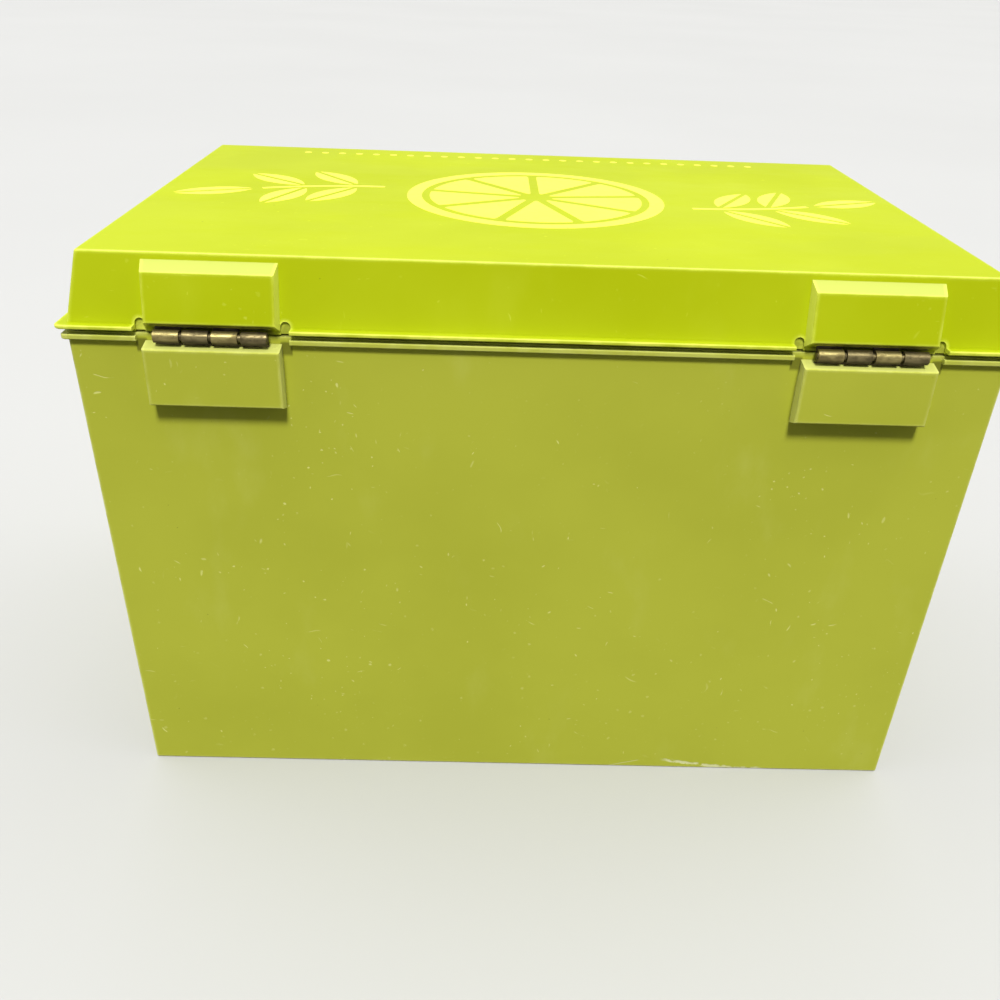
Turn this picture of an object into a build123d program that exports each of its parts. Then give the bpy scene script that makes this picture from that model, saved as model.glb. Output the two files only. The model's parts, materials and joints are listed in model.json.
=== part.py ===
from build123d import *
import os
from math import cos, radians, sin, tan

# Moulded box for index cards: a tub and a lid that swings on two small rolled-sheet hinges.
# Lengths are in millimetres and angles in degrees. +Z is up, X runs along the hinges and the
# hinge side faces -Y. The origin is the middle of the foot rim, on the plane the box stands on.

# Base, measured on its outer faces at the rim
rim_width = 137.2
rim_depth = 91.8
rim_height = 82.5
base_draft = 1.2
base_wall = 2.0
base_floor = 2.0
base_round = 0.4
base_foot_round = 0.3
base_cavity_round = 1.2

# Foot rim round the underside, and the moulding gate in the recess inside it
foot_width = 3.5
foot_height = 0.6
foot_corner = 1.5
gate_radius = 2.0
gate_height = 0.3

# Bead round the outside of the base's rim
bead_reach = 0.8
bead_height = 0.8
bead_drop = 0.25
bead_corner = 0.8
bead_round = 0.2

# Lip that stands on the base's rim and centres the lid
lip_height = 1.6
lip_thickness = 0.8
lip_chamfer = 0.25
lip_play = 0.2
lip_headroom = 0.1

# Lid
lid_gap = 0.3
lid_inset = 0.12
lid_rise = 10.05
lid_slope = 11.1
lid_wall = 2.0
lid_top = 2.0
lid_round = 0.45
lid_cavity_round = 1.0

# Flange round the lid
flange_reach = 1.5
flange_thickness = 0.6
flange_lift = 0.35
flange_corner = 1.2
flange_round = 0.2

# Hinges: two equal rolled leaves on a pin, each set in from an end of the rim
hinge_inset = 21.0
hinge_length = 16.1
axis_reach = 1.5
knuckle_radius = 0.95
knuckle_pairs = 2
knuckle_gap = 0.5
leaf_thickness = 0.35
leaf_relief = 0.3
curl_seam = 0.15
pin_play = 0.04
pin_overhang = 0.15
pin_round = 0.2

# Barbs that hold a leaf in its slot
barb_rows = 3
barb_pitch = 1.6
barb_reach = 0.15
barb_height = 0.6
slot_play = 0.05

# Hinge bosses, the lid's measured where it meets the wall
boss_round = 0.25
base_boss_width = 19.6
base_boss_reach = 2.6
base_boss_end = 2.57
base_boss_bevel = 11.5
base_boss_slope = 19.0
base_notch = 1.2
lid_boss_width = 19.3
lid_boss_draft = 10.0
lid_boss_reach = 2.0
lid_boss_end = 1.05
lid_boss_bevel = 32.0
lid_boss_clearance = 0.5
lid_shoulder = 1.05
lid_notch = 1.5
lid_notch_rise = 0.95
lid_notch_depth = 0.5

# How far a cut runs past the face that it opens
overrun = 1.0

# Levels and places worked out from the sizes above
floor_z = foot_height + base_floor
bead_top_z = rim_height - bead_drop
bead_foot_z = bead_top_z - bead_height
lip_top_z = rim_height + lip_height
lid_bottom_z = rim_height + lid_gap
flange_foot_z = lid_bottom_z + flange_lift
flange_top_z = flange_foot_z + flange_thickness
lid_top_z = flange_top_z + lid_rise
lid_width = rim_width - 2 * lid_inset
lid_depth = rim_depth - 2 * lid_inset
back_y = -rim_depth / 2
lid_back_y = -lid_depth / 2
hinge_places = [hinge_inset - rim_width / 2, rim_width / 2 - hinge_inset]

axis_y = back_y - axis_reach
axis_z = rim_height + lid_gap / 2
bore_radius = knuckle_radius - leaf_thickness
pin_radius = bore_radius - pin_play
leaf_inner_y = axis_y + knuckle_radius
leaf_outer_y = axis_y + bore_radius
knuckle_count = 2 * knuckle_pairs
knuckle_length = (hinge_length - (knuckle_count - 1) * knuckle_gap) / knuckle_count
knuckle_step = knuckle_length + knuckle_gap
slot_width = hinge_length + 2 * slot_play
slot_thickness = leaf_thickness + 2 * slot_play
leaf_offset = knuckle_radius - leaf_thickness / 2

lid_boss_top_z = lid_top_z - lid_shoulder
lid_boss_face_z = lid_boss_top_z - lid_boss_reach * tan(radians(lid_boss_bevel))
leaf_depth = lid_boss_face_z - lid_boss_end - axis_z
base_boss_foot_z = axis_z - leaf_depth - base_boss_end
base_boss_root_z = base_boss_foot_z - base_boss_reach * tan(radians(base_boss_slope))


def base_face_y(z):
    """The outer face of the base's back wall at height z."""
    return back_y + (rim_height - z) * tan(radians(base_draft))


def lid_face_y(z):
    """The outer face of the lid's back wall at height z above its flange."""
    return lid_back_y + (z - flange_top_z) * tan(radians(lid_slope))


def lid_boss_under_z(y):
    """The bevelled underside of a lid boss, which clears the knuckles by lid_boss_clearance."""
    clear = knuckle_radius + lid_boss_clearance
    return axis_z + (clear + (axis_y - y) * sin(radians(lid_boss_bevel))) / cos(radians(lid_boss_bevel))


def leaning_edges(part):
    """The edges that climb from the bottom of a drafted block to its top."""
    return part.edges().filter_by(lambda edge: abs(edge.tangent_at(0.5).Z) > cos(radians(45)))


os.makedirs("parts", exist_ok=True)

# Tub of the base, solid
foot_inset = rim_height * tan(radians(base_draft))
with BuildPart() as tub:
    with BuildSketch():
        Rectangle(rim_width - 2 * foot_inset, rim_depth - 2 * foot_inset)
    extrude(amount=rim_height, taper=-base_draft)
    fillet(leaning_edges(tub), radius=base_round)
    fillet(tub.faces().sort_by(Axis.Z)[0].edges(), radius=base_foot_round)

# Room inside the base, one drafted block from the floor past the top of the lip
floor_inset = base_wall + (rim_height - floor_z) * tan(radians(base_draft))
with BuildPart() as base_cavity:
    with BuildSketch(Plane.XY.offset(floor_z)):
        Rectangle(rim_width - 2 * floor_inset, rim_depth - 2 * floor_inset)
    extrude(amount=lip_top_z + overrun - floor_z, taper=-base_draft)
    fillet(
        leaning_edges(base_cavity) + base_cavity.faces().sort_by(Axis.Z)[0].edges(),
        radius=base_cavity_round,
    )

# Boss on the base's back wall that takes a hinge leaf, in section, with a face that leans as the wall does
base_boss_face_z = bead_foot_z - base_boss_reach * tan(radians(base_boss_bevel))
with BuildPart() as base_boss:
    with BuildSketch(Plane.YZ):
        with BuildLine():
            Polyline(
                (base_face_y(bead_foot_z) + base_wall / 2, bead_foot_z),
                (base_face_y(bead_foot_z), bead_foot_z),
                (base_face_y(base_boss_face_z) - base_boss_reach, base_boss_face_z),
                (base_face_y(base_boss_foot_z) - base_boss_reach, base_boss_foot_z),
                (base_face_y(base_boss_root_z), base_boss_root_z),
                (base_face_y(base_boss_root_z) + base_wall / 2, base_boss_root_z),
                close=True,
            )
        make_face()
    extrude(amount=base_boss_width / 2, both=True)
    fillet(base_boss.faces().sort_by(Axis.Y)[0].edges(), radius=boss_round)

# Base: the bead with its hinge gaps, the lip, the tub, the bosses, and what is hollowed out
lip_inset = base_wall - lip_thickness
lip_corner = base_cavity_round + lip_thickness
with BuildPart() as base_shell:
    with BuildSketch(Plane.XY.offset(bead_foot_z)):
        RectangleRounded(rim_width + 2 * bead_reach, rim_depth + 2 * bead_reach, bead_corner)
    extrude(amount=bead_height)
    fillet(base_shell.faces().filter_by(Axis.Z).edges(), radius=bead_round)
    with BuildSketch(Plane.XY.offset(bead_foot_z)):
        with Locations(*[(x, back_y) for x in hinge_places]):
            Rectangle(base_boss_width + 2 * base_notch, 2 * (bead_reach + overrun))
    extrude(amount=bead_height, mode=Mode.SUBTRACT)
    with BuildSketch(Plane.XY.offset(bead_foot_z)):
        RectangleRounded(rim_width - 2 * lip_inset, rim_depth - 2 * lip_inset, lip_corner)
    extrude(amount=lip_top_z - bead_foot_z)
    chamfer(base_shell.faces().sort_by(Axis.Z)[-1].edges(), length=lip_chamfer)
    add(tub.part)
    with Locations(*[(x, 0, 0) for x in hinge_places]):
        add(base_boss.part)
    add(base_cavity.part, mode=Mode.SUBTRACT)
    with BuildSketch(Plane((0, axis_y, axis_z))):
        with Locations(*[(x, leaf_offset) for x in hinge_places]):
            Rectangle(slot_width, slot_thickness)
    extrude(amount=-leaf_depth - slot_play, mode=Mode.SUBTRACT)
    with BuildSketch():
        RectangleRounded(
            rim_width - 2 * (foot_inset + foot_width),
            rim_depth - 2 * (foot_inset + foot_width),
            foot_corner,
        )
    extrude(amount=foot_height, mode=Mode.SUBTRACT)
    with BuildSketch(Plane.XY.offset(foot_height - gate_height)):
        Circle(gate_radius)
    extrude(amount=gate_height)
base_shell.part.label = "base_shell"
export_step(base_shell.part, "parts/base_shell.step")

# Lid above its flange, solid
with BuildPart() as lid_body:
    with BuildSketch(Plane.XY.offset(flange_top_z)):
        Rectangle(lid_width, lid_depth)
    extrude(amount=lid_rise, taper=lid_slope)
    fillet(leaning_edges(lid_body) + lid_body.faces().sort_by(Axis.Z)[-1].edges(), radius=lid_round)

# Room inside the lid, with a rebate below it that drops over the base's lip
mouth_inset = lid_wall - (flange_top_z - lid_bottom_z) * tan(radians(lid_slope))
rebate_inset = lip_inset - lip_play
with BuildPart() as lid_cavity:
    with BuildSketch(Plane.XY.offset(lid_bottom_z)):
        Rectangle(lid_width - 2 * mouth_inset, lid_depth - 2 * mouth_inset)
    extrude(amount=lid_top_z - lid_top - lid_bottom_z, taper=lid_slope)
    fillet(
        leaning_edges(lid_cavity) + lid_cavity.faces().sort_by(Axis.Z)[-1].edges(),
        radius=lid_cavity_round,
    )
    with BuildSketch(Plane.XY.offset(lid_bottom_z - overrun)):
        RectangleRounded(
            rim_width - 2 * rebate_inset,
            rim_depth - 2 * rebate_inset,
            lip_corner + lip_play,
        )
    extrude(amount=lip_top_z + lip_headroom - lid_bottom_z + overrun)

# Boss on the lid's back wall, drawn in section, with a face that leans as the wall does
chin_rise = lid_boss_under_z(lid_back_y - lid_boss_reach) - flange_top_z
lid_boss_foot_z = flange_top_z + chin_rise / (1 + tan(radians(lid_slope)) * tan(radians(lid_boss_bevel)))
lean_up = (0, sin(radians(lid_slope)), cos(radians(lid_slope)))
lean_out = (0, -cos(radians(lid_slope)), sin(radians(lid_slope)))
lid_wall_plane = Plane((0, lid_back_y, flange_top_z), x_dir=(1, 0, 0), z_dir=lean_out)
with BuildPart() as lid_boss:
    with BuildSketch(Plane.YZ):
        with BuildLine():
            Polyline(
                (lid_back_y + lid_wall / 2, lid_boss_under_z(lid_back_y)),
                (lid_back_y, lid_boss_under_z(lid_back_y)),
                (lid_face_y(lid_boss_foot_z) - lid_boss_reach, lid_boss_foot_z),
                (lid_face_y(lid_boss_face_z) - lid_boss_reach, lid_boss_face_z),
                (lid_face_y(lid_boss_top_z), lid_boss_top_z),
                (lid_face_y(lid_boss_top_z) + lid_wall / 2, lid_boss_top_z),
                close=True,
            )
        make_face()
    extrude(amount=lid_boss_width / 2, both=True)
    draft(lid_boss.faces().filter_by(Axis.X), neutral_plane=lid_wall_plane, angle=lid_boss_draft)
    fillet(lid_boss.faces().filter_by(lid_wall_plane).sort_by(Axis.Y)[0].edges(), radius=boss_round)

# Arched notches in the lid's wall, one each side of a boss
notch_x = (lid_boss_width + lid_notch) / 2
notch_spring_z = flange_top_z + lid_notch_rise - lid_notch / 2
with BuildPart() as lid_notches:
    with BuildSketch(Plane.XZ.offset(-lid_back_y - lid_notch_depth)):
        with Locations((-notch_x, notch_spring_z), (notch_x, notch_spring_z)):
            Circle(lid_notch / 2)
            Rectangle(lid_notch, notch_spring_z - lid_bottom_z + overrun, align=(Align.CENTER, Align.MAX))
    extrude(amount=lid_notch_depth + flange_reach + overrun)

# Lid: the flange with its hinge gaps, the wall below it, the body, the bosses and the hollows
with BuildPart() as lid_shell:
    with BuildSketch(Plane.XY.offset(flange_foot_z)):
        RectangleRounded(lid_width + 2 * flange_reach, lid_depth + 2 * flange_reach, flange_corner)
    extrude(amount=flange_thickness)
    fillet(lid_shell.faces().filter_by(Axis.Z).edges(), radius=flange_round)
    with BuildSketch(Plane.XY.offset(flange_foot_z)):
        with Locations(*[(x, lid_back_y) for x in hinge_places]):
            Rectangle(lid_boss_width + 2 * lid_notch, 2 * (flange_reach + overrun))
    extrude(amount=flange_thickness, mode=Mode.SUBTRACT)
    with BuildSketch(Plane.XY.offset(lid_bottom_z)):
        RectangleRounded(lid_width, lid_depth, lid_round)
    extrude(amount=flange_top_z - lid_bottom_z)
    add(lid_body.part)
    with Locations(*[(x, 0, 0) for x in hinge_places]):
        add(lid_boss.part)
        add(lid_notches.part, mode=Mode.SUBTRACT)
    add(lid_cavity.part, mode=Mode.SUBTRACT)
    with BuildSketch(Plane((0, axis_y, axis_z), x_dir=(1, 0, 0), z_dir=lean_up)):
        with Locations(*[(x, leaf_offset) for x in hinge_places]):
            Rectangle(slot_width, slot_thickness)
    extrude(amount=leaf_depth + slot_play, mode=Mode.SUBTRACT)
lid_shell.part.label = "lid_shell"
export_step(lid_shell.part, "parts/lid_shell.step")

# Hinge leaf as it sits in the base: a barbed plate whose top tabs curl round the pin
plate_top_z = axis_z - knuckle_radius - leaf_relief
plate_foot_z = axis_z - leaf_depth
curl_starts = [(2 * pair + 1) * knuckle_step - hinge_length / 2 for pair in range(knuckle_pairs)]
barb_levels = [plate_foot_z + (row + 1) * barb_pitch for row in range(barb_rows)]
with BuildPart() as hinge_leaf:
    with BuildSketch(Plane.XZ.offset(-leaf_inner_y)):
        with Locations((0, plate_foot_z)):
            Rectangle(hinge_length, plate_top_z - plate_foot_z, align=(Align.CENTER, Align.MIN))
        with Locations(*[(x, plate_top_z) for x in curl_starts]):
            Rectangle(knuckle_length, axis_z - plate_top_z, align=(Align.MIN, Align.MIN))
        for z in barb_levels:
            with BuildLine():
                Polyline(
                    (-hinge_length / 2, z),
                    (hinge_length / 2, z),
                    (hinge_length / 2 + barb_reach, z + barb_height),
                    (-hinge_length / 2 - barb_reach, z + barb_height),
                    close=True,
                )
            make_face()
    extrude(amount=leaf_thickness)
    for x in curl_starts:
        with BuildSketch(Plane.YZ.offset(x)):
            with Locations((axis_y, axis_z)):
                Circle(knuckle_radius)
                Circle(bore_radius, mode=Mode.SUBTRACT)
            with Locations((leaf_outer_y - curl_seam, axis_z)):
                Rectangle(
                    leaf_thickness + curl_seam + overrun,
                    knuckle_radius + overrun,
                    align=(Align.MIN, Align.MAX),
                    mode=Mode.SUBTRACT,
                )
        extrude(amount=knuckle_length)

# Pin through both leaves' knuckles
with BuildPart() as hinge_pin:
    with BuildSketch(Plane.YZ.offset(-hinge_length / 2 - pin_overhang)):
        with Locations((axis_y, axis_z)):
            Circle(pin_radius)
    extrude(amount=hinge_length + 2 * pin_overhang)
    fillet(hinge_pin.edges().filter_by(GeomType.CIRCLE), radius=pin_round)

# The two hinges are alike. The lid's leaf is the base's leaf turned over, leaning as the lid's wall does.
turn_axis = Axis((0, axis_y, axis_z), (0, 1, 0))
lean_axis = Axis((0, axis_y, axis_z), (1, 0, 0))
hinge_pieces = {
    "hinge_base_leaf": hinge_leaf.part,
    "hinge_lid_leaf": hinge_leaf.part.rotate(turn_axis, 180).rotate(lean_axis, -lid_slope),
    "hinge_pin": hinge_pin.part,
}
for side, x in zip(("left", "right"), hinge_places):
    for piece_name, piece in hinge_pieces.items():
        placed = piece.moved(Location((x, 0, 0)))
        placed.label = f"{side}_{piece_name}"
        export_step(placed, f"parts/{side}_{piece_name}.step")
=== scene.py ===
import json
import math

import bmesh
import bpy
from bpy.props import FloatProperty, FloatVectorProperty, IntProperty, PointerProperty
from mathutils import Euler, Matrix, Vector


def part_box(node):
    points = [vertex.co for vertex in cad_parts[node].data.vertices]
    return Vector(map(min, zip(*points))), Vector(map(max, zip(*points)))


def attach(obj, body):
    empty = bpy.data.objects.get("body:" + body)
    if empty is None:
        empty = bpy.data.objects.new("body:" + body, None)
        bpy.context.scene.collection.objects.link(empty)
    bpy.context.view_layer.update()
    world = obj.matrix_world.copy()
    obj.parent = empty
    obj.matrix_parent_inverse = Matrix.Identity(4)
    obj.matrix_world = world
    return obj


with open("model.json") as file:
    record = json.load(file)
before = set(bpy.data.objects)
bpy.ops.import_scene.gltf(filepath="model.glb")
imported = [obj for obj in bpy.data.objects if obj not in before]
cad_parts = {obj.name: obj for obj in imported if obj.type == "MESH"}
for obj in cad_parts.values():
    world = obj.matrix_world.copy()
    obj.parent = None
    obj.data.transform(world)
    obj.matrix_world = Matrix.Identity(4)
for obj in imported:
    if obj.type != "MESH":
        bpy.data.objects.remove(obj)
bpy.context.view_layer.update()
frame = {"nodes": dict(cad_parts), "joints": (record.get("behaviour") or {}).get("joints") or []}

bl_info = {
    "name": "Card Box Finish",
    "version": (1, 0, 0),
    "blender": (4, 5, 0),
    "location": "View3D > Sidebar > Card Box",
    "description": "Worn plastic, aged brass, a printed lid and a studio for a hinged box for index cards",
    "category": "Object",
}

MM = 0.001
BASE_LOW, BASE_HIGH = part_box("base_shell")
LID_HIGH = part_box("lid_shell")[1]
HINGE_NODES = [name for name in frame["nodes"] if "hinge" in name]
HINGE_AXIS = Vector(frame["joints"][0]["pos_m"])
BARREL_RADIUS = HINGE_AXIS.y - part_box("left_hinge_lid_leaf")[0].y
PIN_START, PIN_END = (corner.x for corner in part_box("right_hinge_pin"))

# Places with y below these are on the hinge side: on the bosses and rim, and on the wall down to its foot
BACK_ZONE = BASE_LOW.y + 5 * MM
FOOT_ZONE = BASE_LOW.y + 8 * MM
# Places nearer the middle than this are clear of the box's left and right ends
BOSS_ZONE = LID_HIGH.x - 5 * MM
# Refraction of plastic and of ink
GLOSS_IOR = 1.5
# Steps in the round of the slice's rind, of a leaf's back, of a stem's bend and of a dot
RIND_STEPS = 128
LEAF_STEPS = 160
STEM_STEPS = 24
DOT_STEPS = 24
# Cuts in the outer edge of each segment of the slice, and how its sharp corners are found and rounded
SEGMENT_CUTS = 9
SHARP_CORNER = math.radians(40)
CORNER_STEPS = 5
# Leaves of a sprig: how far along the stem each grows, and how far it leans in degrees
SPRIG_LEAVES = ((0.2, 56), (0.2, -56), (0.62, 54), (0.62, -54), (1.0, 0))


def linear(red, green, blue):
    """A colour as it looks on screen, from 0 to 255, turned into light values."""
    shares = (value / 255 for value in (red, green, blue))
    return tuple(s / 12.92 if s <= 0.04045 else ((s + 0.055) / 1.055) ** 2.4 for s in shares)


def colour_property(name, description, default):
    return FloatVectorProperty(
        name=name, description=description, default=default, subtype="COLOR", min=0.0, max=1.0
    )


def length_property(name, description, default):
    return FloatProperty(
        name=name, description=description, default=default, min=0.0, unit="LENGTH", precision=5
    )


def share_property(name, description, default):
    return FloatProperty(
        name=name, description=description, default=default, min=0.0, max=1.0, subtype="FACTOR"
    )


def angle_property(name, description, degrees):
    return FloatProperty(
        name=name, description=description, default=math.radians(degrees), subtype="ANGLE"
    )


def number_property(name, description, default, low=0.0):
    return FloatProperty(name=name, description=description, default=default, min=low)


class PlasticSettings(bpy.types.PropertyGroup):
    """The two moulded plastics and how worn they are."""

    base_colour: colour_property("Base colour", "Olive plastic of the base", linear(189, 194, 62))
    # Pale colour of the base's chips, rubbed edges and scuffs, also used for painted highlight on edges and
    # on the bosses' sides
    base_wear_and_highlight_colour: colour_property(
        "Base wear", "Chips and rubbed edges of the base", linear(228, 231, 132)
    )
    # Also scales the painted highlight on the bosses' sides and the painted shade in inner corners
    base_scuffs: share_property("Base scuffs", "How strongly the base's wear shows", 1.0)
    lid_colour: colour_property("Lid colour", "Lime plastic of the lid", linear(180, 193, 10))
    # Pale colour of the lid's chips, rubbed edges and scuffs, also used for painted highlight on edges and
    # on the bosses' sides
    lid_wear_and_highlight_colour: colour_property(
        "Lid wear", "Chips and rubbed edges of the lid", linear(243, 250, 104)
    )
    # Also scales the painted highlight on the bosses' sides and the painted shade in inner corners
    lid_scuffs: share_property("Lid scuffs", "How strongly the lid's wear shows", 0.22)
    # Colour of the specks of dirt and of the painted shade in corners, notches and above the barrels
    grime_and_shade_colour: colour_property("Grime colour", "Dirt held in the corners", linear(70, 68, 24))
    gloss_roughness: share_property("Roughness", "Roughness of clean plastic", 0.36)
    gloss_level: share_property("Gloss", "How strongly the plastic mirrors", 0.1)
    # Painted highlight: how pale the bosses' bevelled tops are painted for the sheen they catch
    top_sheen: share_property("Top wear", "How rubbed the tops of the bosses are", 0.28)
    # Painted highlight: how pale the bosses' upright sides are painted for light from left and right, and
    # what scuffs add
    flank_light: share_property("Side wear", "How rubbed the bosses' sides are on clean plastic", 0.72)
    scuffed_flank_light: share_property("Scuffed side wear", "What scuffs add to that", 0.25)
    # Partly rubbed wear, partly painted highlight along the edges
    edge_wear_and_highlight: share_property("Edge wear", "How rubbed the edges are", 0.8)
    # Painted shade in the inner corners
    corner_shade: share_property("Corner grime", "How dirty the inner corners of scuffed plastic are", 0.6)
    edge_width: length_property("Edge width", "How far wear reaches from an edge", 0.6 * MM)
    rub_width: length_property("Rub width", "Width of the rubbed lines on the base's edges", 0.4 * MM)
    base_bevel: angle_property("Base bevel", "How far the tops of the base's bosses lean out", 11.5)
    lid_bevel: angle_property("Lid bevel", "How far the tops of the lid's bosses lean out", 32)
    lid_lean: angle_property("Lid lean", "How far the lid's walls lean in", 11.1)
    base_lean: angle_property("Base lean", "How far the base's walls lean out", 1.2)
    bead_reach: length_property("Bead reach", "How far the bead stands out from the base's rim", 0.8 * MM)
    rim_drop: length_property("Rim drop", "From the top of the base's lip to its rim", 1.6 * MM)
    # How far the painted shade reaches from an inner corner
    corner_width: length_property("Corner width", "How far grime reaches from a corner", 0.9 * MM)
    # How far the painted shade over a barrel reaches from the hinge axis
    barrel_shade: length_property("Barrel grime", "How far grime reaches from the hinge axis", 1.75 * MM)
    # Where the painted shade in each notch beside a pin lies
    notch_place: length_property("Notch place", "From a pin's end to the notch beside it", 2.2 * MM)
    notch_sink: length_property("Notch sink", "From the hinge axis in to a notch's floor", 1.69 * MM)
    notch_width: length_property("Notch width", "Half the width of the grime in a notch", 0.7 * MM)
    notch_height: length_property("Notch height", "From the hinge axis to the notch's top", 3 * MM)
    grain_size: length_property("Grain size", "Size of the fine grain of the mould", 0.45 * MM)
    # Colour of the foot edge's real chip and of the painted highlight on the bosses' bevelled tops
    chip_and_sheen_colour: colour_property(
        "Chip colour", "Rough plastic of the foot edge's chip and the bosses' tops", linear(232, 234, 170)
    )
    chip_start: length_property("Chip start", "Where the foot edge's chip starts", 26.3 * MM)
    chip_end: length_property("Chip end", "Where the foot edge's chip runs out", 46 * MM)
    chip_rise: length_property("Chip rise", "Height of the chip where it starts", 2.4 * MM)
    chip_width: length_property("Chip width", "Half the chip's width", 0.5 * MM)


class HingeSettings(bpy.types.PropertyGroup):
    """The aged brass of the hinges."""

    lid_brass: colour_property("Lid brass", "Rubbed brass of the lid's leaves", linear(192, 178, 116))
    lid_patina: colour_property("Lid patina", "Patina of the lid's leaves", linear(118, 106, 67))
    base_brass: colour_property("Base brass", "Rubbed brass of the base's leaves", linear(161, 147, 103))
    base_patina: colour_property(
        "Base patina", "Patina of the base's leaves and the pins", linear(88, 79, 54)
    )
    # Colour of tarnish spots and crevice patina, and of the painted shade below and beside the barrels
    tarnish_and_shade_colour: colour_property("Tarnish", "Dark spots and crevices", linear(40, 33, 26))
    patina_size: length_property("Patina size", "Size of the patches of patina", 1.3 * MM)
    rubbed_roughness: share_property("Roughness", "Roughness where the brass is rubbed", 0.32)


class PrintSettings(bpy.types.PropertyGroup):
    """The print on the lid: a fruit slice between two sprigs, and a dotted rule."""

    ink_colour: colour_property("Ink", "Yellow ink", linear(250, 240, 84))
    ink_height: length_property("Ink height", "How far the ink stands on the lid", 0.03 * MM)
    ink_root: length_property("Ink root", "How far the ink reaches into the lid", 0.05 * MM)
    slice_radius: length_property("Slice radius", "Outer radius of the fruit slice", 23 * MM)
    slice_segments: IntProperty(name="Segments", description="Segments in the slice", default=9, min=3)
    rind_width: length_property("Rind width", "Width of the slice's rind", 2.6 * MM)
    pith_width: length_property("Pith width", "Bare ring between rind and segments", 1.4 * MM)
    segment_gap: length_property("Segment gap", "Bare gap between two segments", 1.6 * MM)
    segment_round: length_property("Segment rounding", "Rounding of a segment's corners", 1.2 * MM)
    leaf_length: length_property("Leaf length", "Length of a leaf", 13.5 * MM)
    leaf_width: length_property("Leaf width", "Width of a leaf", 5.8 * MM)
    leaf_vein: length_property("Leaf vein", "Bare vein along a leaf", 0.9 * MM)
    stem_radius: length_property("Stem radius", "Radius that a stem bends to", 55 * MM)
    stem_width: length_property("Stem width", "Width of a stem", 1.1 * MM)
    stem_reach: angle_property("Stem reach", "Angle that a stem bends through", 23)
    sprig_gap: length_property("Sprig gap", "Bare gap between the slice and a sprig", 4.5 * MM)
    sprig_drop: length_property("Sprig drop", "How far a stem's start is off the slice's middle", 5 * MM)
    dot_radius: length_property("Dot radius", "Radius of a dot in the rule", 0.75 * MM)
    dot_pitch: length_property("Dot pitch", "Distance from dot to dot", 3.6 * MM)
    dot_count: IntProperty(name="Dots", description="Dots in the rule", default=27, min=1)
    rule_inset: length_property("Rule inset", "From the lid's far end to the dotted rule", 9.5 * MM)


class StudioSettings(bpy.types.PropertyGroup):
    """Floor, light and camera."""

    floor_colour: colour_property("Floor", "Pale floor", linear(189, 189, 187))
    floor_bounce: share_property("Bounce", "How much light the floor throws back up", 0.05)
    floor_size: length_property("Floor size", "Side of the floor", 12.0)
    backdrop_colour: colour_property("Backdrop", "What shows beyond the floor", linear(228, 228, 225))
    ceiling_colour: colour_property("Ceiling", "What shows high above the floor", linear(125, 125, 124))
    key_strength: number_property("Key lamp", "Strength of the main lamp", 3.13)
    key_height: angle_property("Key height", "Height of the main lamp, behind the camera", 54)
    key_softness: angle_property("Key softness", "How wide the main lamp looks", 12)
    top_strength: number_property("Top lamp", "Strength of the upper lamp", 0.35)
    top_height: angle_property("Top height", "Height of the upper lamp, behind the camera", 78)
    top_softness: angle_property("Top softness", "How wide the upper lamp looks", 30)
    fill_near: number_property("Fill near", "Light from the camera's side", 0.05)
    fill_far: number_property("Fill far", "Light from the far side", 1.2)
    fill_sides: number_property("Fill sides", "Light from high on the left and right", 1.2)
    camera_place: FloatVectorProperty(
        name="Camera", description="Where the camera stands", subtype="TRANSLATION", unit="LENGTH",
        default=(-8.71 * MM, -184.06 * MM, 132.02 * MM),
    )
    camera_pitch: angle_property("Pitch", "How far the camera looks down", 28.59)
    camera_yaw: angle_property("Yaw", "How far the camera looks to the right", 1.36)
    camera_roll: angle_property("Roll", "How far the camera leans", 2.16)
    camera_lens: number_property("Lens", "Focal length in millimetres", 36.04, low=1.0)
    camera_sensor: number_property("Sensor", "Width of the camera's sensor in millimetres", 36.0, low=1.0)


class Nodes:
    """A node tree, with a short call for each kind of step."""

    def __init__(self, tree):
        self.tree = tree

    def add(self, kind, inputs=None, **options):
        made = self.tree.nodes.new(kind)
        for name, value in options.items():
            setattr(made, name, value)
        self.feed(made, inputs or {})
        return made

    def feed(self, made, inputs):
        for name, value in inputs.items():
            if isinstance(value, bpy.types.NodeSocket):
                self.tree.links.new(value, made.inputs[name])
            elif isinstance(value, (int, float)):
                made.inputs[name].default_value = value
            else:
                size = len(made.inputs[name].default_value)
                made.inputs[name].default_value = (*value, 1.0)[:size]

    def work(self, operation, first, second=0.0):
        made = self.add("ShaderNodeMath", {0: first, 1: second}, operation=operation)
        return made.outputs[0]

    def fade(self, value, start, end, low=0.0, high=1.0):
        """From low where value is start to high where it is end, easing between."""
        inputs = {"Value": value, "From Min": start, "From Max": end, "To Min": low, "To Max": high}
        return self.add("ShaderNodeMapRange", inputs, interpolation_type="SMOOTHSTEP").outputs["Result"]

    def blend(self, share, under, over):
        made = self.add("ShaderNodeMix", {0: share, 6: under, 7: over}, data_type="RGBA")
        return made.outputs[2]

    def axes(self, place):
        return self.add("ShaderNodeSeparateXYZ", {0: place}).outputs

    def strongest(self, *masks):
        found = masks[0]
        for mask in masks[1:]:
            found = self.work("MAXIMUM", found, mask)
        return found

    def shown_to_eye(self):
        """One for rays from the camera and those that mirror or pass through, zero for the light's own."""
        path = self.add("ShaderNodeLightPath").outputs
        return self.strongest(path["Is Camera Ray"], path["Is Glossy Ray"], path["Is Transmission Ray"])


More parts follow.
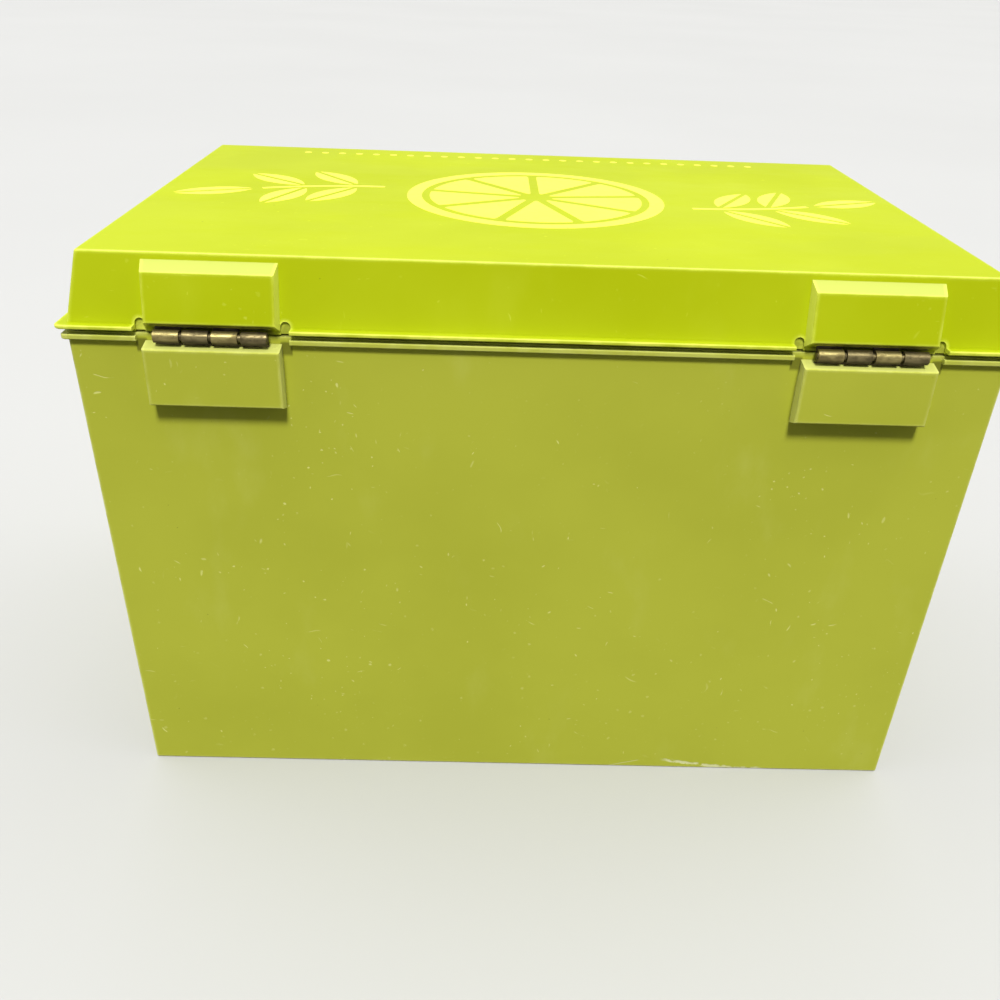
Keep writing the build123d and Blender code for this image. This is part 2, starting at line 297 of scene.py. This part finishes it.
class Finish(Nodes):
    """One material, with the patterns that it is made of."""

    def __init__(self, name):
        self.material = bpy.data.materials.new(name)
        self.material.use_nodes = True
        super().__init__(self.material.node_tree)
        self.surface = self.tree.nodes["Principled BSDF"]
        coordinates = self.add("ShaderNodeTexCoord").outputs
        self.place = coordinates["Object"]
        self.facing = coordinates["Normal"]

    def pushed(self, size, reach):
        """The place, pushed about by up to reach by noise of that size, so that marks wander."""
        wander = self.add("ShaderNodeTexNoise", {"Vector": self.place, "Scale": 1.0 / size, "Detail": 1.0})
        made = self.add(
            "ShaderNodeVectorMath",
            {0: wander.outputs["Color"], 1: (2.0 * reach,) * 3, 2: self.place},
            operation="MULTIPLY_ADD",
        )
        return made.outputs[0]

    def noise(self, size, detail=3.0, stretch=(1, 1, 1)):
        """Soft noise with features of that size in metres, drawn out by stretch."""
        scaled = self.add(
            "ShaderNodeMapping",
            {"Vector": self.place, "Scale": [size * s for s in stretch]},
            vector_type="TEXTURE",
        )
        inputs = {"Vector": scaled.outputs[0], "Scale": 1.0, "Detail": detail, "Roughness": 0.55}
        return self.add("ShaderNodeTexNoise", inputs).outputs["Fac"]

    def marks(self, place, cell, reach, share, turn=(0, 0, 0)):
        """Marks one to a cell, some faint: reach is a mark's part of its cell, share the cells with one."""
        turned = self.add(
            "ShaderNodeMapping",
            {"Vector": place, "Scale": cell, "Rotation": [math.radians(a) for a in turn]},
            vector_type="TEXTURE",
        )
        cells = self.add("ShaderNodeTexVoronoi", {"Vector": turned.outputs[0], "Scale": 1.0})
        chance = self.add("ShaderNodeSeparateColor", {0: cells.outputs["Color"]}).outputs
        size = self.fade(chance["Green"], 0.0, 1.0, low=0.35 * reach, high=reach)
        shape = self.fade(self.work("DIVIDE", cells.outputs["Distance"], size), 1.0, 0.55)
        strength = self.fade(chance["Blue"], 0.0, 1.0, low=0.45)
        chosen = self.work("MULTIPLY", self.work("LESS_THAN", chance["Red"], share), strength)
        return self.work("MULTIPLY", shape, chosen)

    def nearness(self, width, inside, samples=4):
        """Near an outer edge where inside is true, near an inner corner where it is false."""
        shade = self.add(
            "ShaderNodeAmbientOcclusion",
            {"Distance": width},
            samples=samples,
            inside=inside,
            only_local=True,
        )
        return self.work("SUBTRACT", 1.0, shade.outputs["AO"])

    def bump(self, height, distance, strength, under=None):
        inputs = {"Height": height, "Distance": distance, "Strength": strength}
        if under is not None:
            inputs["Normal"] = under
        return self.add("ShaderNodeBump", inputs).outputs["Normal"]


def worn_marks(finish):
    """Chips, flecks and strokes in clusters, scratches and long smears, as one mask."""
    ragged = finish.pushed(size=0.5 * MM, reach=0.24 * MM)
    bent = finish.pushed(size=5 * MM, reach=2.0 * MM)
    clusters = finish.fade(finish.noise(26 * MM), 0.5, 0.62, low=0.12)
    chips = finish.work(
        "MULTIPLY",
        finish.marks(ragged, cell=(2.7 * MM,) * 3, reach=0.16, share=0.45),
        finish.fade(clusters, 0.0, 1.0, low=0.35),
    )
    flecks = finish.work(
        "MULTIPLY", finish.marks(ragged, cell=(1.1 * MM,) * 3, reach=0.19, share=0.3), clusters
    )

    def lines(length, width, reach, share, turn=(0, 0, 0)):
        return finish.marks(bent, (length, width, width), reach, share, turn)

    strokes = finish.strongest(
        lines(11 * MM, 1.7 * MM, reach=0.14, share=0.5, turn=(0, 25, 10)),
        lines(9 * MM, 1.7 * MM, reach=0.14, share=0.4, turn=(15, 105, 60)),
    )
    scratches = finish.strongest(
        lines(36 * MM, 1.8 * MM, reach=0.1, share=0.5, turn=(0, 4, 0)),
        lines(24 * MM, 1.8 * MM, reach=0.1, share=0.35, turn=(10, -55, 75)),
        lines(18 * MM, 1.6 * MM, reach=0.1, share=0.35, turn=(0, 85, 0)),
    )
    smears = finish.work("MULTIPLY", lines(70 * MM, 4 * MM, reach=0.07, share=0.5), 0.4)
    return finish.strongest(chips, flecks, finish.work("MULTIPLY", strokes, clusters), scratches, smears)


def line_mark(finish, place, start, end, half_width, bend=1.0):
    """A thin mark from one (x, z) to another, low on the base's hinge side, that levels out by bend."""
    x, y, z = finish.axes(place)
    left = finish.work("DIVIDE", finish.work("SUBTRACT", end[0], x), end[0] - start[0])
    rise = finish.work("POWER", finish.work("MAXIMUM", left, 0.0), bend)
    level = finish.work("ADD", finish.work("MULTIPLY", rise, start[1] - end[1]), end[1])
    off = finish.work("ABSOLUTE", finish.work("SUBTRACT", z, level))
    near = finish.fade(off, half_width, 0.4 * half_width)
    run = 0.1 * (end[0] - start[0])
    along = finish.work(
        "MULTIPLY",
        finish.fade(x, start[0], start[0] + run),
        finish.fade(x, end[0], end[0] - run),
    )
    behind = finish.work("LESS_THAN", y, FOOT_ZONE)
    return finish.work("MULTIPLY", finish.work("MULTIPLY", near, along), behind)


def foot_chip(finish, settings):
    """The broken band that falls to the hinge side's foot edge, and a fine scratch beside it."""
    ragged = finish.pushed(size=1.2 * MM, reach=0.35 * MM)
    start = settings.chip_start
    band_start = (start, settings.chip_rise)
    band_end = (settings.chip_end, 0.4 * MM)
    band = line_mark(finish, ragged, band_start, band_end, settings.chip_width, bend=2.0)
    broken = finish.fade(finish.noise(0.9 * MM, detail=4.0, stretch=(2.0, 1, 1)), 0.4, 0.5)
    scratch_start = (start - 10 * MM, 0.1 * MM)
    scratch_end = (start - 4 * MM, 1.7 * MM)
    scratch = line_mark(finish, finish.place, scratch_start, scratch_end, half_width=0.13 * MM)
    return finish.strongest(finish.work("MULTIPLY", band, broken), finish.work("MULTIPLY", scratch, 0.5))


def edge_lines(finish, settings):
    """Thin rubbed lines along the base's foot edge and its four upright edges."""
    x, y, z = finish.axes(finish.place)
    lean = math.tan(settings.base_lean)
    out = finish.work("MULTIPLY", finish.work("SUBTRACT", BASE_HIGH.z - settings.rim_drop, z), lean)
    depths = []
    for place, edge in ((x, BASE_HIGH.x), (y, BASE_HIGH.y)):
        reach = finish.work("ADD", finish.work("ABSOLUTE", place), out)
        depths.append(finish.work("SUBTRACT", edge - settings.bead_reach, reach))
    upright = finish.fade(finish.strongest(*depths), settings.rub_width, 0.625 * settings.rub_width)
    foot = finish.fade(z, settings.rub_width, 0.5 * settings.rub_width)
    return finish.strongest(upright, foot)


def hinge_shade(finish, settings):
    """Painted shade above the hinge barrels and in the notches beside them."""
    off_axis = finish.add("ShaderNodeVectorMath", {0: finish.place, 1: HINGE_AXIS}, operation="SUBTRACT")
    x, y, z = finish.axes(off_axis.outputs[0])
    flat = finish.add("ShaderNodeCombineXYZ", {"Y": y, "Z": z})
    far = finish.add("ShaderNodeVectorMath", {0: flat.outputs[0]}, operation="LENGTH").outputs["Value"]
    middle, half = (PIN_START + PIN_END) / 2, (PIN_END - PIN_START) / 2
    along = finish.work("ABSOLUTE", finish.work("SUBTRACT", finish.work("ABSOLUTE", x), middle))
    above = finish.work("GREATER_THAN", z, 0.0)
    reach = settings.barrel_shade
    # Painted shade: a band above each barrel, under the lid's bosses
    close = finish.work("MULTIPLY", finish.fade(far, reach + 0.4 * MM, reach), above)
    over = finish.work("MULTIPLY", close, finish.fade(along, half + 0.8 * MM, half))

    # Painted shade on the floor of each notch beside a pin
    beside = finish.work("ABSOLUTE", finish.work("SUBTRACT", along, half + settings.notch_place))
    sunk = finish.work("SUBTRACT", y, finish.work("MULTIPLY", z, math.tan(settings.lid_lean)))
    floor = finish.fade(sunk, settings.notch_sink - 0.05 * MM, settings.notch_sink + 0.05 * MM)
    within = finish.fade(beside, settings.notch_width + 0.25 * MM, settings.notch_width)
    below = finish.fade(far, settings.notch_height + 0.6 * MM, settings.notch_height)
    notch = finish.work("MULTIPLY", finish.work("MULTIPLY", floor, within), below)
    return finish.strongest(finish.work("MULTIPLY", over, 0.8), finish.work("MULTIPLY", notch, 0.65))


def plastic_finish(name, colour, wear_and_highlight_colour, scuffs, bevel, settings, chipped=False):
    """Moulded plastic with soft mottling, chips, scratches, specks of dirt and rubbed edges, with painted
    highlight on edges and bosses and painted shade in corners and by the hinges.
    """
    finish = Finish(name)
    mottle = finish.noise(38 * MM, detail=4.0)
    pale = [min(1.0, 1.03 * c + 0.004) for c in colour]
    deep = [0.96 * c for c in colour]
    body = finish.blend(finish.fade(mottle, 0.32, 0.68), deep, pale)
    blotches = finish.noise(11 * MM, detail=5.0, stretch=(1, 1, 2.2))
    body = finish.blend(finish.fade(blotches, 0.56, 0.78, high=0.15 * scuffs), body, wear_and_highlight_colour)
    # Painted highlight: the bevelled tops of the bosses on the hinge side, found by which way they face,
    # are painted pale in the chip colour for the sheen they catch
    upwards = (0.0, -math.sin(bevel), math.cos(bevel))
    lean = finish.add("ShaderNodeVectorMath", {0: finish.facing, 1: upwards}, operation="DOT_PRODUCT")
    behind = finish.work("LESS_THAN", finish.axes(finish.place)["Y"], BACK_ZONE)
    tops = finish.fade(lean.outputs["Value"], 0.96, 0.985, high=settings.top_sheen)
    tops = finish.work("MULTIPLY", tops, behind)
    body = finish.blend(tops, body, settings.chip_and_sheen_colour)
    facing_x, facing_y, facing_z = (finish.work("ABSOLUTE", part) for part in finish.axes(finish.facing))
    # Painted highlight: the upright sides of the bosses on the hinge side are painted towards the pale
    # colour, more with scuffs, for the light they would catch from left and right
    across = finish.work("ABSOLUTE", finish.axes(finish.place)["X"])
    on_boss = finish.work("MULTIPLY", behind, finish.work("LESS_THAN", across, BOSS_ZONE))
    flank_light = settings.flank_light + settings.scuffed_flank_light * scuffs
    flanks = finish.work("MULTIPLY", finish.fade(facing_x, 0.9, 0.96, high=flank_light), on_boss)
    body = finish.blend(flanks, body, wear_and_highlight_colour)

    # Outer edges and their rounded faces are painted pale, partly as rubbed wear, partly as painted
    # highlight that edges catch
    near = finish.nearness(settings.edge_width, inside=True)
    curved = finish.fade(finish.strongest(facing_x, facing_y, facing_z), 0.94, 0.9)
    rounded = finish.work("MULTIPLY", curved, finish.fade(near, 0.03, 0.1))
    edges = finish.strongest(finish.fade(near, 0.1, 0.4), rounded)
    patchy = finish.fade(finish.noise(3.5 * MM, detail=5.0), 0.36, 0.6, low=0.4)
    if chipped:
        edges = finish.strongest(edges, edge_lines(finish, settings))
    marks = finish.work("MULTIPLY", worn_marks(finish), scuffs)
    worn_and_lit_edges = finish.work("MULTIPLY", finish.work("MULTIPLY", edges, patchy), settings.edge_wear_and_highlight)
    # Pale marks: real chips and scratches together with the rubbed edges and their painted highlight; they
    # also set roughness and dents
    worn = finish.strongest(worn_and_lit_edges, marks)

    # Painted shade: inner corners, found by how closed in they are, are darkened towards the grime colour,
    # more on scuffed plastic
    tucked = finish.nearness(settings.corner_width, inside=False)
    corners = finish.fade(tucked, 0.2, 0.65, high=settings.corner_shade * scuffs)
    specks = finish.marks(finish.place, cell=(4.2 * MM,) * 3, reach=0.05, share=0.5)
    specks = finish.work("MULTIPLY", specks, 0.6)
    # Real specks of dirt together with painted shade in corners, notches and above the barrels
    grime = finish.strongest(corners, specks, hinge_shade(finish, settings))
    body = finish.blend(grime, body, settings.grime_and_shade_colour)
    body = finish.blend(worn, body, wear_and_highlight_colour)
    if chipped:
        chip = foot_chip(finish, settings)
        body = finish.blend(chip, body, settings.chip_and_sheen_colour)
        worn = finish.strongest(worn, chip)

    haze = finish.fade(finish.noise(14 * MM, detail=6.0, stretch=(2.2, 1, 1)), 0.4, 0.7)
    rough = finish.work("ADD", finish.work("MULTIPLY", haze, 0.1), settings.gloss_roughness)
    rough = finish.work("ADD", rough, finish.work("MULTIPLY", worn, 0.25))
    grain = finish.noise(settings.grain_size, detail=2.0)
    waves = finish.noise(18 * MM, detail=2.0)
    normal = finish.bump(waves, distance=0.12 * MM, strength=0.25)
    normal = finish.bump(grain, distance=0.02 * MM, strength=0.22, under=normal)
    normal = finish.bump(worn, distance=-0.04 * MM, strength=0.5, under=normal)
    finish.feed(finish.surface, {"Base Color": body, "Roughness": rough, "Normal": normal})
    finish.feed(finish.surface, {"IOR": GLOSS_IOR, "Specular IOR Level": settings.gloss_level})
    return finish.material


def brass_finish(name, brass, patina, settings):
    """Old brass: patina, tarnish spots and crevices, metal rubbed bare on the barrel's upper part with
    painted highlight there, and painted shade below the barrel and on the leaves beside it.
    """
    finish = Finish(name)
    off_axis = finish.add("ShaderNodeVectorMath", {0: finish.place, 1: HINGE_AXIS}, operation="SUBTRACT")
    off = finish.axes(off_axis.outputs[0])
    height = finish.work("DIVIDE", off["Z"], BARREL_RADIUS)
    inwards = finish.work("DIVIDE", off["Y"], BARREL_RADIUS)
    # Partly real rubbing, partly painted highlight: the barrel's upper part takes the bright brass, and its
    # lower part is darkened as painted shade
    upper = finish.fade(height, -0.2, 0.6, low=0.3)
    on_barrel = finish.fade(height, -1.3, -1.05)
    lower = finish.work("MULTIPLY", finish.fade(height, -0.15, -0.85, high=0.8), on_barrel)
    # Painted shade on the leaves above and behind the barrel
    leaf = finish.strongest(finish.fade(height, 0.96, 1.1), finish.fade(inwards, 0.3, 0.55))
    beside = finish.work("MULTIPLY", finish.work("MULTIPLY", leaf, on_barrel), 0.95)
    patches = finish.noise(settings.patina_size, detail=6.0, stretch=(1.8, 1, 1))
    patches = finish.fade(patches, 0.36, 0.62)
    rubbed = finish.work("MULTIPLY", upper, patches)
    ragged = finish.pushed(size=0.3 * MM, reach=0.12 * MM)
    spots = finish.marks(ragged, cell=(0.7 * MM,) * 3, reach=0.34, share=0.6)
    crevices = finish.fade(finish.nearness(0.35 * MM, inside=False), 0.25, 0.75)
    # Real tarnish spots and crevice patina, with the painted shade below the barrel and on the leaves
    # beside it
    tarnish = finish.strongest(finish.work("MULTIPLY", spots, 0.7), crevices, lower, beside)
    metal = finish.blend(rubbed, patina, brass)
    metal = finish.blend(tarnish, metal, settings.tarnish_and_shade_colour)
    scratch = finish.noise(0.12 * MM, detail=3.0, stretch=(14, 1, 1))
    rough = finish.fade(rubbed, 0.0, 1.0, low=0.58, high=settings.rubbed_roughness)
    rough = finish.work("ADD", rough, finish.work("MULTIPLY", tarnish, 0.2))
    bare = finish.fade(tarnish, 0.0, 1.0, low=0.95, high=0.4)
    normal = finish.bump(scratch, distance=0.01 * MM, strength=0.35)
    normal = finish.bump(patches, distance=0.03 * MM, strength=0.4, under=normal)
    finish.feed(finish.surface, {"Base Color": metal, "Metallic": bare})
    finish.feed(finish.surface, {"Roughness": rough, "Normal": normal})
    return finish.material


def ink_finish(settings, plastic):
    """Printed ink, a little patchy, worn through to the lid in small chips."""
    finish = Finish("lid_ink")
    body = finish.noise(5 * MM, detail=6.0)
    thin = [0.9 * i + 0.1 * p for i, p in zip(settings.ink_colour, plastic.lid_colour)]
    ink = finish.blend(finish.fade(body, 0.38, 0.66), thin, settings.ink_colour)
    ragged = finish.pushed(size=0.35 * MM, reach=0.14 * MM)
    chips = finish.marks(ragged, cell=(2.2 * MM,) * 3, reach=0.11, share=0.5)
    bent = finish.pushed(size=5 * MM, reach=2 * MM)
    scratches = finish.marks(
        bent, cell=(34 * MM, 1.4 * MM, 1.4 * MM), reach=0.07, share=0.5, turn=(0, 0, 33)
    )
    bare = finish.work("MULTIPLY", finish.strongest(chips, scratches), 0.8)
    ink = finish.blend(bare, ink, plastic.lid_colour)
    rough = finish.fade(body, 0.3, 0.7, low=0.34, high=0.5)
    grain = finish.noise(0.5 * MM, detail=3.0)
    normal = finish.bump(grain, distance=0.02 * MM, strength=0.3)
    normal = finish.bump(bare, distance=-0.02 * MM, strength=0.5, under=normal)
    finish.feed(finish.surface, {"Base Color": ink, "Roughness": rough, "Normal": normal})
    finish.feed(finish.surface, {"IOR": GLOSS_IOR})
    return finish.material


def floor_finish(settings):
    """Pale matte floor with a very faint mottle, which throws little light back at the box."""
    finish = Finish("studio_floor")
    colour = settings.floor_colour
    cloud = finish.noise(0.5, detail=4.0)
    body = finish.blend(finish.fade(cloud, 0.3, 0.7), [0.97 * c for c in colour], colour)
    body = finish.blend(finish.shown_to_eye(), (settings.floor_bounce,) * 3, body)
    finish.feed(finish.surface, {"Base Color": body, "Roughness": 0.7})
    return finish.material


def dress(node, material):
    """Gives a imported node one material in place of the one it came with."""
    slots = frame["nodes"][node].data.materials
    slots.clear()
    slots.append(material)


def ink_piece(name, shape, settings, material):
    """Turns flat faces drawn at height zero into a thin print on the lid's top."""
    sheet = shape.faces[:]
    bmesh.ops.recalc_face_normals(shape, faces=sheet)
    raised = bmesh.ops.extrude_face_region(shape, geom=sheet)
    top = [item for item in raised["geom"] if isinstance(item, bmesh.types.BMVert)]
    bmesh.ops.translate(shape, verts=top, vec=(0, 0, settings.ink_height + settings.ink_root))
    level = LID_HIGH.z - settings.ink_root
    bmesh.ops.translate(shape, verts=shape.verts[:], vec=(0, 0, level))
    bmesh.ops.recalc_face_normals(shape, faces=shape.faces[:])
    mesh = bpy.data.meshes.new(name)
    shape.to_mesh(mesh)
    shape.free()
    mesh.materials.append(material)
    piece = bpy.data.objects.new(name, mesh)
    bpy.context.scene.collection.objects.link(piece)
    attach(piece, "lid")


def each_once(items):
    """The items in the order they come in, without repeats."""
    return list(dict.fromkeys(items))


def draw_rind(shape, settings):
    """The slice's outer ring."""
    rims = []
    for radius in (settings.slice_radius, settings.slice_radius - settings.rind_width):
        made = bmesh.ops.create_circle(shape, cap_ends=False, radius=radius, segments=RIND_STEPS)
        rims += each_once(edge for vert in made["verts"] for edge in vert.link_edges)
    bmesh.ops.bridge_loops(shape, edges=rims)


def draw_segments(shape, settings):
    """The slice's segments: a fan of wedges, each drawn in by half a gap, with rounded corners."""
    radius = settings.slice_radius - settings.rind_width - settings.pith_width + settings.segment_gap / 2
    made = bmesh.ops.create_circle(
        shape, cap_ends=True, cap_tris=True, radius=radius, segments=settings.slice_segments
    )
    fan = each_once(face for vert in made["verts"] for face in vert.link_faces)
    middle = max(made["verts"], key=lambda vert: len(vert.link_faces))
    sides = each_once(edge for face in fan for edge in face.edges)
    rim = [edge for edge in sides if middle not in edge.verts]
    cut = bmesh.ops.subdivide_edges(shape, edges=rim, cuts=SEGMENT_CUTS)
    for vert in each_once(item for item in cut["geom_inner"] if isinstance(item, bmesh.types.BMVert)):
        vert.co *= radius / vert.co.length
    drawn = bmesh.ops.inset_individual(
        shape, faces=fan, thickness=settings.segment_gap / 2, use_even_offset=True
    )
    bmesh.ops.delete(shape, geom=drawn["faces"], context="FACES")
    wedges = each_once(vert for face in fan for vert in face.verts)
    corners = [vert for vert in wedges if vert.calc_edge_angle(0.0) > SHARP_CORNER]
    bmesh.ops.bevel(
        shape, geom=corners, offset=settings.segment_round, segments=CORNER_STEPS, profile=0.5,
        affect="VERTICES", material=-1,
    )


def draw_leaf(shape, settings, place):
    """Two round-backed halves with a bare vein between them, pointing along +X from the stem."""
    chord = settings.leaf_length / 2
    bulge = (settings.leaf_width - settings.leaf_vein) / 2
    radius = (chord ** 2 + bulge ** 2) / (2 * bulge)
    drawn = set(shape.verts)
    disc = bmesh.ops.create_circle(
        shape, cap_ends=True, radius=radius, segments=LEAF_STEPS,
        matrix=Matrix.Translation((chord, bulge - radius, 0)),
    )["verts"]
    edges = each_once(edge for vert in disc for edge in vert.link_edges)
    faces = each_once(face for vert in disc for face in vert.link_faces)
    bmesh.ops.bisect_plane(
        shape, geom=[*disc, *edges, *faces], plane_co=(0, 0, 0), plane_no=(0, -1, 0), clear_outer=True
    )
    half = [vert for vert in shape.verts if vert not in drawn]
    bmesh.ops.translate(shape, verts=half, vec=(0, settings.leaf_vein / 2, 0))
    edges = each_once(edge for vert in half for edge in vert.link_edges)
    faces = each_once(face for vert in half for face in vert.link_faces)
    bmesh.ops.mirror(shape, geom=[*half, *edges, *faces], axis="Y", merge_dist=-1.0)
    leaf = [vert for vert in shape.verts if vert not in drawn]
    bmesh.ops.transform(shape, matrix=place, verts=leaf)


def draw_sprig(shape, settings, side):
    """A bent stem with leaves in pairs and one at its tip. side is 1 to the right, -1 to the left."""
    start = settings.slice_radius + settings.sprig_gap
    bend = Vector((start, settings.stem_radius, 0))
    half = settings.stem_width / 2
    ends = [shape.verts.new((start, y, 0)) for y in (-half, half)]
    stem = shape.edges.new(ends)
    bmesh.ops.spin(
        shape, geom=[*ends, stem], cent=bend, axis=(0, 0, 1), angle=settings.stem_reach, steps=STEM_STEPS
    )
    stalk = Matrix.Translation((1.7 * settings.stem_width, 0, 0))
    for share, lean in SPRIG_LEAVES:
        along = share * settings.stem_reach
        root = Matrix.Translation(bend) @ Matrix.Rotation(along, 4, "Z") @ Matrix.Translation(-bend)
        out = Matrix.Translation((start, 0, 0)) @ Matrix.Rotation(math.radians(lean), 4, "Z")
        draw_leaf(shape, settings, root @ out @ stalk)
    bmesh.ops.translate(shape, verts=shape.verts[:], vec=(0, -settings.sprig_drop, 0))
    if side < 0:
        bmesh.ops.rotate(
            shape, verts=shape.verts[:], cent=(0, 0, 0), matrix=Matrix.Rotation(math.pi, 3, "Z")
        )


def draw_rule(shape, settings):
    """A row of dots along the lid's far end."""
    y = LID_HIGH.y - settings.rule_inset
    first = -(settings.dot_count - 1) / 2 * settings.dot_pitch
    for dot in range(settings.dot_count):
        place = Matrix.Translation((first + dot * settings.dot_pitch, y, 0))
        bmesh.ops.create_circle(
            shape, cap_ends=True, radius=settings.dot_radius, segments=DOT_STEPS, matrix=place
        )


class CARDBOX_OT_dress_base(bpy.types.Operator):
    """Give the base its worn olive plastic"""

    bl_idname = "card_box.dress_base"
    bl_label = "Dress Base"

    def execute(self, context):
        settings = context.scene.card_box_plastic
        olive = plastic_finish(
            "olive_plastic", settings.base_colour, settings.base_wear_and_highlight_colour, settings.base_scuffs,
            settings.base_bevel, settings, chipped=True,
        )
        dress("base_shell", olive)
        return {"FINISHED"}


class CARDBOX_OT_dress_lid(bpy.types.Operator):
    """Give the lid its worn lime plastic"""

    bl_idname = "card_box.dress_lid"
    bl_label = "Dress Lid"

    def execute(self, context):
        settings = context.scene.card_box_plastic
        lime = plastic_finish(
            "lime_plastic", settings.lid_colour, settings.lid_wear_and_highlight_colour, settings.lid_scuffs,
            settings.lid_bevel, settings,
        )
        dress("lid_shell", lime)
        return {"FINISHED"}


class CARDBOX_OT_dress_hinges(bpy.types.Operator):
    """Give the leaves and pins of both hinges their aged brass"""

    bl_idname = "card_box.dress_hinges"
    bl_label = "Dress Hinges"

    def execute(self, context):
        settings = context.scene.card_box_hinges
        gold = brass_finish("pale_brass", settings.lid_brass, settings.lid_patina, settings)
        brown = brass_finish("brown_brass", settings.base_brass, settings.base_patina, settings)
        for node in HINGE_NODES:
            dress(node, gold if "lid_leaf" in node else brown)
        return {"FINISHED"}


class CARDBOX_OT_print_lid(bpy.types.Operator):
    """Print a fruit slice, two sprigs and a dotted rule on the lid"""

    bl_idname = "card_box.print_lid"
    bl_label = "Print Lid"

    def execute(self, context):
        settings = context.scene.card_box_print
        ink = ink_finish(settings, context.scene.card_box_plastic)
        slice_shape = bmesh.new()
        draw_segments(slice_shape, settings)
        draw_rind(slice_shape, settings)
        ink_piece("lid_print_slice", slice_shape, settings, ink)
        for side, name in ((-1, "left"), (1, "right")):
            sprig = bmesh.new()
            draw_sprig(sprig, settings, side)
            ink_piece(f"lid_print_{name}_sprig", sprig, settings, ink)
        rule = bmesh.new()
        draw_rule(rule, settings)
        ink_piece("lid_print_rule", rule, settings, ink)
        return {"FINISHED"}


class CARDBOX_OT_set_stage(bpy.types.Operator):
    """Set up the floor, the light and the camera"""

    bl_idname = "card_box.set_stage"
    bl_label = "Set Stage"

    def execute(self, context):
        settings = context.scene.card_box_studio
        self.lay_floor(context, settings)
        self.hang_lamp(
            context, "key_lamp", settings.key_strength, settings.key_height, settings.key_softness
        )
        self.hang_lamp(
            context, "top_lamp", settings.top_strength, settings.top_height, settings.top_softness
        )
        self.light_room(context, settings)
        self.stand_camera(context, settings)
        context.scene.view_settings.view_transform = "Standard"
        return {"FINISHED"}

    def lay_floor(self, context, settings):
        shape = bmesh.new()
        bmesh.ops.create_grid(shape, x_segments=1, y_segments=1, size=settings.floor_size / 2)
        mesh = bpy.data.meshes.new("studio_floor")
        shape.to_mesh(mesh)
        shape.free()
        mesh.materials.append(floor_finish(settings))
        floor = bpy.data.objects.new("studio_floor", mesh)
        context.scene.collection.objects.link(floor)

    def hang_lamp(self, context, name, strength, height, softness):
        data = bpy.data.lights.new(name, "SUN")
        data.energy = strength
        data.angle = softness
        lamp = bpy.data.objects.new(name, data)
        lamp.rotation_euler = Euler((math.pi / 2 - height, 0, 0))
        context.scene.collection.objects.link(lamp)

    def light_room(self, context, settings):
        """Soft fill, most from the far side and the upper sides, and a backdrop that is dimmer high up."""
        world = bpy.data.worlds.new("studio_room")
        world.use_nodes = True
        room = Nodes(world.node_tree)
        way = room.axes(room.add("ShaderNodeTexCoord").outputs["Generated"])
        spread = room.fade(way["Y"], -0.7, 0.5, low=settings.fill_near, high=settings.fill_far)
        sides = room.fade(room.work("ABSOLUTE", way["X"]), 0.5, 0.95, high=settings.fill_sides)
        sides = room.work("MULTIPLY", sides, room.fade(way["Z"], 0.0, 0.35))
        fill = world.node_tree.nodes["Background"]
        room.feed(fill, {"Color": (1, 1, 1), "Strength": room.work("ADD", spread, sides)})
        overhead = room.fade(way["Z"], 0.0, 0.32)
        shades = room.blend(overhead, settings.backdrop_colour, settings.ceiling_colour)
        backdrop = room.add("ShaderNodeBackground", {"Color": shades})
        either = room.add(
            "ShaderNodeMixShader", {0: room.shown_to_eye(), 1: fill.outputs[0], 2: backdrop.outputs[0]}
        )
        room.feed(world.node_tree.nodes["World Output"], {"Surface": either.outputs[0]})
        context.scene.world = world

    def stand_camera(self, context, settings):
        data = bpy.data.cameras.new("camera")
        data.sensor_width = settings.camera_sensor
        data.lens = settings.camera_lens
        data.clip_start = 5 * MM
        camera = bpy.data.objects.new("camera", data)
        camera.matrix_world = (
            Matrix.Translation(settings.camera_place)
            @ Matrix.Rotation(-settings.camera_yaw, 4, "Z")
            @ Matrix.Rotation(math.pi / 2 - settings.camera_pitch, 4, "X")
            @ Matrix.Rotation(settings.camera_roll, 4, "Z")
        )
        context.scene.collection.objects.link(camera)
        context.scene.camera = camera


OPERATORS = (
    CARDBOX_OT_dress_base,
    CARDBOX_OT_dress_lid,
    CARDBOX_OT_dress_hinges,
    CARDBOX_OT_print_lid,
    CARDBOX_OT_set_stage,
)
SETTINGS = {
    "card_box_plastic": PlasticSettings,
    "card_box_hinges": HingeSettings,
    "card_box_print": PrintSettings,
    "card_box_studio": StudioSettings,
}


class CARDBOX_PT_finish(bpy.types.Panel):
    """The steps that dress the box, and their settings"""

    bl_idname = "CARDBOX_PT_finish"
    bl_label = "Card Box"
    bl_space_type = "VIEW_3D"
    bl_region_type = "UI"
    bl_category = "Card Box"

    def draw(self, context):
        for operator in OPERATORS:
            self.layout.operator(operator.bl_idname)
        for group_name, group in SETTINGS.items():
            box = self.layout.box()
            for setting in group.__annotations__:
                box.prop(getattr(context.scene, group_name), setting)


def register():
    for group_name, group in SETTINGS.items():
        bpy.utils.register_class(group)
        setattr(bpy.types.Scene, group_name, PointerProperty(type=group))
    for operator in OPERATORS:
        bpy.utils.register_class(operator)
    bpy.utils.register_class(CARDBOX_PT_finish)


def unregister():
    bpy.utils.unregister_class(CARDBOX_PT_finish)
    for operator in reversed(OPERATORS):
        bpy.utils.unregister_class(operator)
    for group_name, group in reversed(SETTINGS.items()):
        delattr(bpy.types.Scene, group_name)
        bpy.utils.unregister_class(group)


def main():
    register()
    bpy.ops.card_box.dress_base()
    bpy.ops.card_box.dress_lid()
    bpy.ops.card_box.dress_hinges()
    bpy.ops.card_box.print_lid()
    bpy.ops.card_box.set_stage()


if __name__ == "__main__":
    main()
